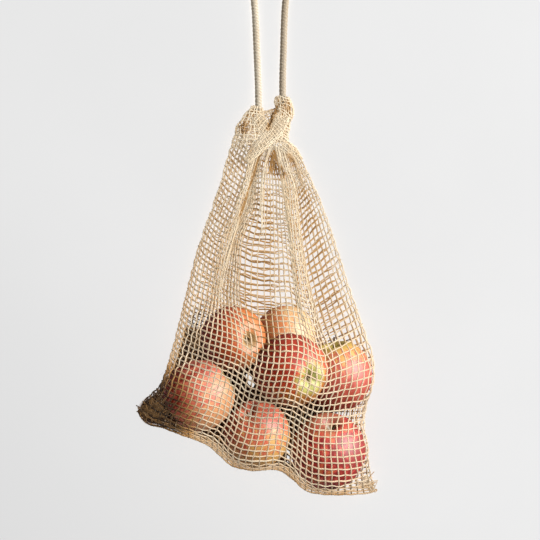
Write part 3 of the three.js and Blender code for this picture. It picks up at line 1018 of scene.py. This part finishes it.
def wefts(rows):
    """Yarns that run round the bag."""
    t = np.arange(2 * CELLS_ACROSS * STEPS_PER_CELL) / STEPS_PER_CELL

    def wrapped(values):
        values = values[rows]
        ring = np.concatenate([values[:, -2:], values, values[:, :3]], axis=1)
        return np.swapaxes(through(np.swapaxes(ring, 0, 1), t + 2), 0, 1)

    lines = wrapped(whole)
    out = unit(wrapped(normals))
    sign = np.cos(np.pi * (t[None] + rows[:, None]))
    lines = lines + out * (WEAVE * sign)[:, :, None]
    deep = wrapped(weft_painted_light_and_tone) * rng.uniform(*UNEVEN, (len(rows), 1))
    radii = slub(len(rows), len(t)) * fine(t[None], rows[:, None] / CELLS_DOWN, FINE_WEFTS)
    return tubes(lines, radii, YARN_SIDES, out, closed=True, painted_lights_and_tones=deep)


jute = yarn_material("jute_yarn", JUTE_TONES, 3.2, 900.0)
cotton = yarn_material("cotton_cord", COTTON_TONES, 6.0, 1400.0)
set_camera()
lit_floor = lay_floor()
cord = drawstring(cotton)

whole = settle(lay_net())
whole = whole + rng.normal(0, 1, whole.shape) * SHIFTS
whole[:, :, 1] += ripples(whole)
normals = net_normals(whole)
warp_painted_light_and_tone = net_painted_light_and_tone(whole, "warp")
weft_painted_light_and_tone = net_painted_light_and_tone(whole, "weft")

columns = np.arange(2 * CELLS_ACROSS)
rows = np.arange(CELLS_DOWN + 1)
halfway = len(rows) // 2
net_pieces = [
    rows_to_mesh("net_warps_front", *warps(columns[: CELLS_ACROSS + 1]), jute, "jute_net"),
    rows_to_mesh("net_warps_back", *warps(columns[CELLS_ACROSS + 1 :]), jute, "jute_net"),
    rows_to_mesh("net_wefts_upper", *wefts(rows[:halfway]), jute, "jute_net"),
    rows_to_mesh("net_wefts_lower", *wefts(rows[halfway:]), jute, "jute_net"),
]


# Casing of the hem: sleeves of close net, drawn up round the cord, that cross below its mouths

HEM_YARN = 0.55
HEM_WEAVE = 0.35
NET_BLUR = 5  # reach over which the net's height is taken
ON_EAR = 0.8  # of an ear's height, where a band lies on it
HEM_RADII = (0.85, 1.2)  # shares of the yarn, and painted shade of single strands
HEM_UNEVEN = (0.2, 1.2)
PLEAT_RADII = (0.8, 1.15)
PLEAT_UNEVEN = (0.1, 1.1)
PLEAT_TIP = 0.35  # of a strand's thickness, at its end
PLEAT_LIE = 0.6  # over the net
PLEAT_SWAY = 0.4
HEM_FINE = 400
HEM_STEPS = 60
RING_STEPS = 30

# Stations: x, y, z, half width and half height. The two bands lie on the net, so they have no z.
LEFT_SLEEVE = [
    (0.1, 191.5, 5.2, 5.6, 4.5), (-1.4, 185.9, 6.2, 8, 5.5), (-4, 177.8, 8.7, 11.5, 8),
    (-6.5, 167.7, 10.7, 14, 10), (-9.5, 157.6, 10.7, 14.6, 10), (-12.6, 147.4, 8.7, 14, 8),
]
RIGHT_SLEEVE = [
    (25.6, 201.4, 5.3, 6.4, 4.6), (25.7, 197.2, 6.3, 8, 5.6), (27.3, 189, 6.9, 8.9, 6.2),
    (24.7, 178, 7.2, 9.3, 6.5), (21.9, 165.8, 7.4, 9.5, 6.7), (20.9, 155.7, 7.7, 10, 7),
]
BAND_RIGHT = [
    (24, 181.9, 8.5, 3.5), (20.4, 171.8, 8, 3.5), (13.3, 161.6, 7, 3.2), (4.6, 152.5, 6, 3),
    (-3.5, 144.4, 5, 2.6), (-10.6, 135.3, 3.5, 2),
]
BAND_LEFT = [
    (-1.5, 181, 6, 3), (3.6, 172.5, 7, 3), (10.7, 163.7, 7, 3), (19.8, 156.6, 7, 3), (28.5, 150.5, 6.5, 3),
    (36.5, 144.4, 5, 2.6), (43, 136.5, 3.5, 2),
]
BACK_CASING = [(-2, 178, 4, 9, 3), (6, 178, 4, 9, 3), (14, 180, 4, 9, 3), (24, 182, 4, 9, 3)]


def net_height(points):
    """Height of the front of the net at places near it."""
    crossings = whole[: CELLS_DOWN // 2, : CELLS_ACROSS + 1].reshape(-1, 3)
    away = norm(points[..., None, :2] - crossings[:, :2])
    weight = np.exp(-((away / NET_BLUR) ** 2)) + 1e-9 / (1 + away**2)
    return (weight * crossings[:, 2]).sum(-1) / weight.sum(-1)


def laid(route, lift):
    """Stations of a band that lies on the net."""
    route = np.array(route, float)
    z = np.maximum(net_height(route), ON_EAR * ears_height(route)) + lift
    return np.column_stack([route[:, :2], z, route[:, 2:]])


def lining(stations, wide, high):
    return [(x, y, z, wide * w, high * h) for x, y, z, w, h in stations]


def sleeve(stations, strands, twist, pitch, slant, shade=0.0):
    """A tube of net: strands along it, and rings round it that slant."""
    line = even(spline(np.array(stations, float), HEM_FINE), HEM_STEPS)
    _, across, rise = axes(line[:, :3])
    laid_out = np.column_stack([line, across, rise])
    run = running(line[:, :3])
    lump = rng.uniform(0, 2 * np.pi, 3)

    def place(at, turn, lift):
        here = through(laid_out, at / run[-1] * (HEM_STEPS - 1))
        middle, half, side, up = np.split(here, (3, 5, 8), axis=1)
        bump = 1 + 0.05 * np.sin(at / 2.3 + lump[0] + 2 * turn) + 0.04 * np.sin(at / 4.1 + 3 * turn + lump[1])
        wide, high = (half * bump[:, None] + lift[:, None]).T
        c, s = np.cos(turn), np.sin(turn)
        points = middle + side * (wide * c)[:, None] + up * (high * s)[:, None]
        points[:, 2] = np.maximum(points[:, 2], HEM_YARN)
        return points, side * c[:, None] + up * s[:, None]

    def strung(made, closed):
        points, outs = (np.array(part) for part in zip(*made))
        radii = HEM_YARN * rng.uniform(*HEM_RADII, (len(made), 1))
        depth = np.maximum(shade, hem_shade(points) * rng.uniform(*HEM_UNEVEN, (len(made), 1)))
        return tubes(points, radii, YARN_SIDES, outs, closed=closed, painted_lights_and_tones=depth)

    lengthwise, rings = [], []
    at = np.linspace(0, run[-1], HEM_STEPS)
    for k in range(strands):
        turn = 2 * np.pi * ((k + rng.normal(0, 0.12)) / strands + twist * at / run[-1])
        turn = turn + 0.08 * np.sin(at / 3 + rng.uniform(0, 6))
        lengthwise.append(place(at, turn, HEM_WEAVE * np.cos(np.pi * (at / pitch + k))))
    turn = 2 * np.pi * np.arange(RING_STEPS) / RING_STEPS
    for k in range(int(run[-1] / pitch)):
        tilt = slant * np.interp((k + 0.5) * pitch, run, line[:, 3]) * np.cos(turn)
        at = np.clip((k + 0.5 + rng.normal(0, 0.1)) * pitch + tilt, 0, run[-1])
        rings.append(place(at, turn, -HEM_WEAVE * np.cos(strands * turn / 2 + np.pi * k)))
    return join(strung(lengthwise, False), strung(rings, True))


def pleat(route, count, widths, lift, shade=0.0):
    """Strands drawn together out of the net below the hem, lying on it along a route."""
    line = spline(np.array(route, float), HEM_STEPS)
    t = np.linspace(0, 1, HEM_STEPS)
    way = unit(np.gradient(line, axis=0))
    across = np.stack([way[:, 1], -way[:, 0]], -1)
    width = widths[0] + (widths[1] - widths[0]) * t
    lines = []
    for k in range(count):
        side = (k + 0.5) / count - 0.5 + rng.normal(0, 0.06)
        sway = PLEAT_SWAY * np.sin(2 * np.pi * (t * rng.uniform(1.5, 3) + rng.random()))
        at = line + across * (side * width + sway)[:, None]
        crown = lift * (1 - (2 * side) ** 2) * smooth((1 - t) * 3) + rng.uniform(0, PLEAT_LIE)
        lines.append(np.column_stack([at, np.maximum(net_height(at) + PLEAT_LIE + crown, HEM_YARN)]))
    lines = np.array(lines)
    taper = PLEAT_TIP + (1 - PLEAT_TIP) * smooth((1 - t) * 5)
    radii = HEM_YARN * rng.uniform(*PLEAT_RADII, (count, 1)) * taper
    depth = np.maximum(shade, hem_shade(lines) * rng.uniform(*PLEAT_UNEVEN, (count, 1)))
    return tubes(lines, radii, YARN_SIDES, painted_lights_and_tones=depth)


# Stations, strands along it, turns of their twist, pitch and slant of the rings, and painted shade.
SLEEVES = (
    (LEFT_SLEEVE, 16, 0.08, 4.2, 0.25),
    (lining(LEFT_SLEEVE[:-2], 0.75, 0.7), 12, -0.1, 3.6, -0.3, 0.9),
    (RIGHT_SLEEVE, 20, 0.15, 3.2, -0.45),
    (lining(RIGHT_SLEEVE, 0.72, 0.7), 14, -0.15, 3.4, 0.4, 0.95),
    (laid(BAND_LEFT, 1.5), 16, 0.1, 3.2, 0.3),
    (laid(BAND_RIGHT, 3.5), 16, -0.12, 3.2, -0.3),
    (BACK_CASING, 20, 0, 3.0, 0.1, 0.3),
)
# Route, strands, widths at its ends, height of its crown, and painted shade.
PLEATS = (
    (((-17, 172), (-8, 164), (1, 154)), 7, (10, 10), 1, 0.35),
    (((14.8, 151.5), (10.7, 139.3), (6.7, 125.1), (4.6, 106.9), (4.6, 84.6), (6.7, 56.2)), 4, (4, 5), 2.5),
    (((18.8, 151.5), (21.9, 137.3), (24.9, 121.1), (28, 101.8), (31, 76.5), (34, 56)), 5, (5, 7), 2.5),
    (((5, 147), (0.7, 139.8), (-5.3, 120.8), (-10.5, 103.8), (-15.9, 86.6), (-19.3, 72)), 4, (3, 2), 1, 1.15),
    (((1, 147), (-5, 128), (-10.2, 111), (-17.3, 88), (-23, 66), (-29, 46), (-35, 23), (-40, 4)), 4, (5, 5), 2),
    (((31, 147.4), (39.1, 139.3), (44.2, 127.2), (49.2, 110.9)), 6, (7, 9), 2, 0.3),
    (((16.8, 147.4), (16.8, 135.3), (15.8, 121.1)), 8, (4, 13), 1, 1.0),
)
hem = join(*[sleeve(*row) for row in SLEEVES], *[pleat(*row) for row in PLEATS])
net_pieces.append(rows_to_mesh("hem_casing", *hem, jute, "jute_net"))


# Bottom seam: a bound edge, and loose ends of yarn at its two corners

SEAM_STEPS = 900
SEAM_TURN = 3.1
SEAM_WIDE = 0.5
SEAM_SIDES = 5
# Strands of the seam: the hand and the phase of those that wind round it, and the ones that run along inside.
SEAM_STRANDS = ((1, 0), (1, 2.1), (-1, 4.2), (0, 0.4), (0, 2.5), (0, 4.6))
LOOSE_OUT = 1.5  # the most that a loose end stands out of its corner
LOOSE_ROWS = 20  # of the net that the loose ends lie on
LOOSE_STEPS = 12
LOOSE_LENGTHS = (5, 13)
LOOSE_RADII = (0.6, 1.1)  # shares of the hem's yarn
LOOSE_LIE = (-1, 1.5)  # over the net
LOOSE_ARCH = 1.2
# Corner, way into the bag, count, reach and painted shade of the loose ends.
LOOSE_ENDS = (
    (BOTTOM_SEAM[0], (1, 0.1), 140, 26, (1.55, 2.0)),
    (BOTTOM_SEAM[-1], (-0.75, 0.65), 45, 16, (0.1, 0.8)),
)


def bound_edge():
    """Strands along the bottom seam and overcast yarns that wind round it."""
    line = spline(whole[-1, : CELLS_ACROSS + 1], SEAM_STEPS)
    run = running(line)
    _, across, up = axes(line)
    lines = []
    for hand, phase in SEAM_STRANDS:
        turn = hand * 2 * np.pi * run / SEAM_TURN + phase + 0.5 * np.sin(run / 5 + phase)
        wide = SEAM_WIDE * (1 + 0.25 * np.sin(run / 3.7 + 2 * phase)) * (1 if hand else 0.55)
        at = line + across * (wide * np.cos(turn))[:, None] + up * (wide * np.sin(turn))[:, None]
        at[:, 2] = np.maximum(at[:, 2], HEM_YARN)
        lines.append(at)
    lines = np.array(lines)
    shade = np.maximum(0.85 + 0.25 * np.sin(run / 9)[None], tip_shade(lines, 1.6))
    return tubes(lines, HEM_YARN, SEAM_SIDES, painted_lights_and_tones=shade)


def loose_ends(corner, inward, count, reach, shades):
    """Ends of yarn that lie crosswise in a corner of the seam."""
    t = np.linspace(0, 1, LOOSE_STEPS)
    corner = np.array(corner)
    inward = unit(np.array(inward, float))
    across = np.array([-inward[1], inward[0]])
    bed = whole[-LOOSE_ROWS:].reshape(-1, 3)
    lines = []
    for _ in range(count):
        far = reach * rng.random() ** 0.7
        start = corner + inward * far + across * rng.uniform(-0.4, 0.4) * (4 + 0.9 * far)
        angle = rng.normal(0, 0.7)
        way = inward * math.cos(angle) + across * math.sin(angle)
        length = rng.uniform(*LOOSE_LENGTHS)
        bow = np.array([-way[1], way[0]]) * rng.normal(0, 0.25)
        xy = start + length * (way * t[:, None] + bow * (t * t)[:, None] - way * 0.3)
        xy = xy + inward * max(0.0, -LOOSE_OUT - ((xy - corner) @ inward).min())
        nearest = norm(xy[:, None] - bed[:, :2]).argmin(-1)
        z = bed[nearest, 2].mean() + rng.uniform(*LOOSE_LIE)
        lines.append(np.column_stack([xy, np.maximum(z + LOOSE_ARCH * np.sin(np.pi * t), HEM_YARN)]))
    shade = rng.uniform(*shades, (count, 1))
    radii = HEM_YARN * rng.uniform(*LOOSE_RADII, (count, 1))
    return tubes(np.array(lines), radii, SEAM_SIDES, painted_lights_and_tones=shade)


seam = join(bound_edge(), *[loose_ends(*row) for row in LOOSE_ENDS])
net_pieces.append(rows_to_mesh("bottom_seam", *seam, jute, "jute_net"))


# Loose fibres: short curved hairs that stand off the yarns of the front

HAIRS = 2600
HAIR_STEPS = 5
HAIR_RADIUS = 0.09
HAIR_SIDES = 3
HAIR_LENGTHS = (1.5, 5)
HAIR_OFF = 0.4  # from the middle of the yarn
HAIR_STRAY = 0.6
HAIR_BEND = 0.5
SLACK_HAIRS = 1.6  # times as many as over the apples, and in the fold that the light rakes
FOLD_HAIRS = 7


def hairs():
    """Hairs at places picked along the front's yarns, more of them where the net is slack."""
    chance = np.ones((CELLS_DOWN, CELLS_ACROSS))
    chance[: CELLS_DOWN // 2] = SLACK_HAIRS
    chance[6 : CELLS_DOWN // 2, STARTS[2] : STARTS[3]] = FOLD_HAIRS
    picked = rng.choice(chance.size, HAIRS, p=(chance / chance.sum()).ravel())
    row, column = np.divmod(picked, CELLS_ACROSS)
    slide = rng.random((HAIRS, 1))
    lengthwise = rng.random((HAIRS, 1)) < 0.5
    here = whole[row, column]
    ahead = np.where(lengthwise, whole[row + 1, column], whole[row, column + 1])
    out = normals[row, column]
    start = here + (ahead - here) * slide
    way = unit(ahead - here) * rng.choice([-1, 1], (HAIRS, 1))
    way = unit(way + rng.normal(0, HAIR_STRAY, (HAIRS, 3)) + 0.25 * out)
    bend = rng.normal(0, HAIR_BEND, (HAIRS, 3))
    length = rng.uniform(*HAIR_LENGTHS, (HAIRS, 1))
    t = np.linspace(0, 1, HAIR_STEPS)[None, :, None]
    curl = way[:, None] * t + bend[:, None] * t**2
    lines = start[:, None] + length[:, None] * curl + HAIR_OFF * out[:, None]
    lines[:, :, 2] = np.maximum(lines[:, :, 2], HAIR_RADIUS)
    return tubes(lines, HAIR_RADIUS * (1.1 - 0.7 * t[:, :, 0]), HAIR_SIDES)


net_pieces.append(rows_to_mesh("loose_fibres", *hairs(), jute, "jute_net"))

for piece in net_pieces:
    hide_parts("net_bag")


# Apples

APPLE_RINGS = 56
APPLE_SIDES = 72
STEM_DENT = (0.36, 0.27)  # depth and width of the hollows at stem and eye
EYE_DENT = (0.26, 0.24)
LOBES = 0.02
LEAN = 0.025
APPLE_LONG = 1.05
SKIN_IN = 0.992
APPLE_SPIN = 0.7
TWIG_STEPS = 9
TWIG_SIDES = 8
# Stems, and the dry leaves of an eye: name, apple, start as a share of its radius along the stem's way, lean,
# length, thickness, how many, and how far they spread.
TWIGS = (
    ("stem_1", 0, 0.52, 0.25, 9, 1.3, 1, 0.2),
    ("stem_4", 3, 0.52, 0.1, 22, 1.6, 1, 0.1),
    ("stem_7", 6, 0.52, 0.2, 13, 1.5, 1, 0.3),
    ("eye_3", 2, -0.62, 0.2, 6, 1.3, 5, 0.4),
)


def frame_on(axis, spin):
    """Rotation whose third column points along axis."""
    z = unit(np.array(axis, float))
    x = unit(np.cross([0.3, 1, 0.2], z))
    y = np.cross(z, x)
    turned = math.cos(spin) * x + math.sin(spin) * y
    return np.stack([turned, np.cross(z, turned), z], axis=1)


def apple(index, fruit):
    down = np.linspace(0.0, np.pi, APPLE_RINGS)[:, None]
    turn = (2 * np.pi * np.arange(APPLE_SIDES) / APPLE_SIDES)[None]
    size = 1 - STEM_DENT[0] * np.exp(-((down / STEM_DENT[1]) ** 2))
    size = size - EYE_DENT[0] * np.exp(-(((np.pi - down) / EYE_DENT[1]) ** 2))
    lobes = LOBES * (np.cos(5 * turn + index) - 1) * smooth((down - 1.2) / 1.4)
    lean = LEAN * (np.cos(turn + 2 * index) - 1) * np.cos(down) * smooth((1.6 - down) / 1.2)
    size = ((size + lobes + lean) * SKIN_IN)[..., None]
    way = np.stack([np.sin(down) * np.cos(turn), np.sin(down) * np.sin(turn), np.cos(down) + 0 * turn], -1)
    facing = frame_on(fruit["stem"], APPLE_SPIN * index)
    verts = (way * size * [1, 1, APPLE_LONG]) @ facing.T * fruit["radius"] + fruit["at"]
    here = np.arange(APPLE_RINGS * APPLE_SIDES).reshape(APPLE_RINGS, APPLE_SIDES)
    here, below = here[:-1], here[1:]
    quads = np.stack([here, below, np.roll(below, -1, 1), np.roll(here, -1, 1)], -1).reshape(-1, 4)
    red_way = facing.T @ unit(np.array(fruit["red"], float))
    material = apple_material(f"skin_{index}", fruit, tuple(red_way))
    return rows_to_mesh(f"fruit_{index}", verts.reshape(-1, 3), quads, {"skin": way.reshape(-1, 3)}, material)


def twig(name, fruit, start, lean, length, thick, count, spread):
    """A stem, or the dry leaves of an eye, out of the hollow at one end of an apple."""
    facing = frame_on(np.array(fruit["stem"], float) * np.sign(start), 0.3)
    t = np.linspace(0, 1, TWIG_STEPS)
    lines = []
    for k in range(count):
        angle = 2 * np.pi * k / count + 0.4
        out = lean + spread * t
        local = np.stack([out * t * np.cos(angle), out * t * np.sin(angle), t], -1) * length
        local[:, 2] += abs(start) * fruit["radius"]
        lines.append(local @ facing.T + fruit["at"])
    radii = thick * (1 - 0.45 * t if count == 1 else 1.1 - t)
    return rows_to_mesh(name, *tubes(np.array(lines), radii[None], TWIG_SIDES), wood)


wood = wood_material()
apples = [apple(number, fruit) for number, fruit in enumerate(FRUIT, 1)]
apples += [twig(name, FRUIT[index], *sizes) for name, index, *sizes in TWIGS]
for piece in apples:
    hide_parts("net_bag")

light_studio(lit_floor, net_pieces, cord, apples)
